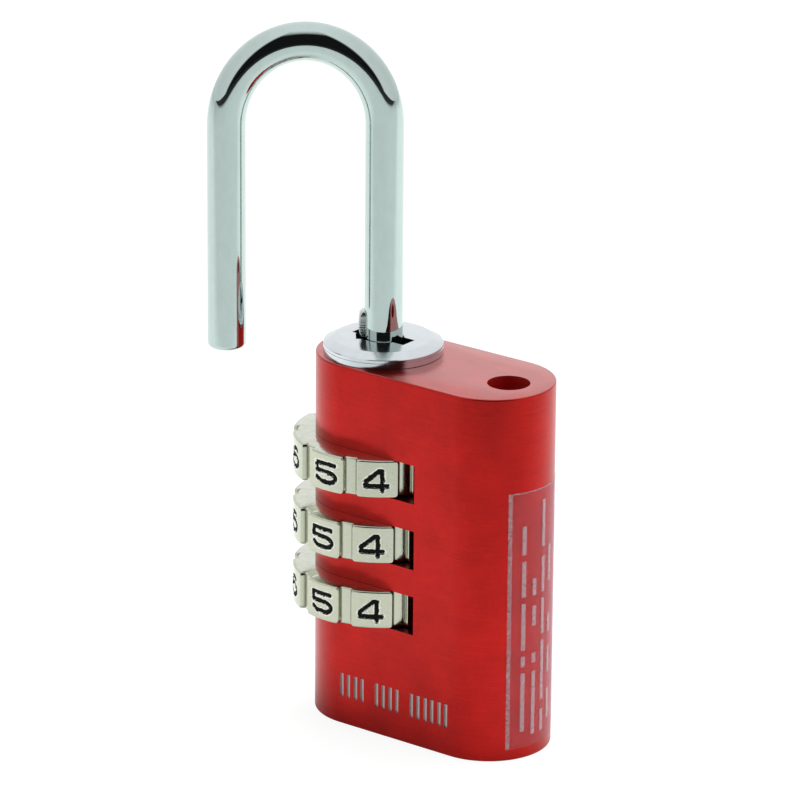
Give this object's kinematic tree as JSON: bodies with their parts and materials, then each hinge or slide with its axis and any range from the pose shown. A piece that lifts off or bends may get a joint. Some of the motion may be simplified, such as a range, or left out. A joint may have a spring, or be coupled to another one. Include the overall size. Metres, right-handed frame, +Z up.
{
  "type": "combination padlock",
  "caption": "Small aluminium padlock with side-reading number dials, shown open with its round shackle raised and swivelled aside.",
  "frame": {"origin": "centre of the case's flat bottom face", "axes": "+Z up along the shackle's travel, +X along the case's width towards the hole for the short leg, -Y is the side the dials are read from"},
  "size_m": [0.0255, 0.0156, 0.054],
  "materials": {
    "red_anodised": "brushed and anodised red, satin",
    "chrome": "polished chrome plate",
    "collar_chrome": "fine turned chrome plate",
    "satin_nickel": "satin nickel plate, numbers filled with black paint",
    "brass": "machined",
    "spring_steel": "bright drawn",
    "clear_film": "clear adhesive film with plain pale bars"
  },
  "bodies": {
    "case": {"case": "red_anodised", "shackle_collar": "collar_chrome", "edge_label": "clear_film", "sleeve_spring": "spring_steel", "lift_spring": "spring_steel", "detent_spring_top": "spring_steel", "detent_spring_middle": "spring_steel", "detent_spring_bottom": "spring_steel"},
    "spring_seat": {"spring_seat": "brass"},
    "shackle": {"shackle": "chrome"},
    "thrust_washer": {"thrust_washer": "spring_steel"},
    "dial_top": {"dial_top": "satin_nickel"},
    "code_sleeve_top": {"code_sleeve_top": "brass"},
    "detent_plunger_top": {"detent_plunger_top": "spring_steel"},
    "dial_middle": {"dial_middle": "satin_nickel"},
    "code_sleeve_middle": {"code_sleeve_middle": "brass"},
    "detent_plunger_middle": {"detent_plunger_middle": "spring_steel"},
    "dial_bottom": {"dial_bottom": "satin_nickel"},
    "code_sleeve_bottom": {"code_sleeve_bottom": "brass"},
    "detent_plunger_bottom": {"detent_plunger_bottom": "spring_steel"}
  },
  "joints": [
    {"name": "shackle_slide", "type": "slide", "parent": "case", "child": "spring_seat", "axis": [0, 0, -1], "range_m": [0, 0.0052], "deforming": ["lift_spring"]},
    {"name": "shackle_swivel", "type": "hinge", "parent": "spring_seat", "child": "shackle", "pos_m": [-0.00488, 0, 0.0286], "axis": [0, 0, 1], "range_deg": [-219, 141]},
    {"name": "dial_top_turn", "type": "hinge", "parent": "case", "child": "dial_top", "pos_m": [-0.00488, 0, 0.02076], "axis": [0, 0, 1], "continuous": true},
    {"name": "dial_middle_turn", "type": "hinge", "parent": "case", "child": "dial_middle", "pos_m": [-0.00488, 0, 0.01557], "axis": [0, 0, 1], "continuous": true},
    {"name": "dial_bottom_turn", "type": "hinge", "parent": "case", "child": "dial_bottom", "pos_m": [-0.00488, 0, 0.01036], "axis": [0, 0, 1], "continuous": true},
    {"name": "code_sleeve_top_shift", "type": "slide", "parent": "dial_top", "child": "code_sleeve_top", "axis": [0, 0, -1], "range_m": [0, 0.0013]},
    {"name": "code_sleeve_middle_shift", "type": "slide", "parent": "dial_middle", "child": "code_sleeve_middle", "axis": [0, 0, -1], "range_m": [0, 0.0013]},
    {"name": "code_sleeve_bottom_shift", "type": "slide", "parent": "dial_bottom", "child": "code_sleeve_bottom", "axis": [0, 0, -1], "range_m": [0, 0.0013]},
    {"name": "thrust_washer_shift", "type": "slide", "parent": "case", "child": "thrust_washer", "axis": [0, 0, -1], "range_m": [0, 0.0013], "deforming": ["sleeve_spring"]},
    {"name": "detent_top_spring_in", "type": "slide", "parent": "case", "child": "detent_plunger_top", "axis": [-1, 0, 0], "range_m": [0, 0.00034]},
    {"name": "detent_middle_spring_in", "type": "slide", "parent": "case", "child": "detent_plunger_middle", "axis": [-1, 0, 0], "range_m": [0, 0.00034]},
    {"name": "detent_bottom_spring_in", "type": "slide", "parent": "case", "child": "detent_plunger_bottom", "axis": [-1, 0, 0], "range_m": [0, 0.00034]}
  ],
  "couplings": [
    {"joint": "code_sleeve_middle_shift", "follows": "code_sleeve_top_shift", "ratio": 1},
    {"joint": "code_sleeve_bottom_shift", "follows": "code_sleeve_top_shift", "ratio": 1},
    {"joint": "thrust_washer_shift", "follows": "code_sleeve_top_shift", "ratio": 1}
  ]
}
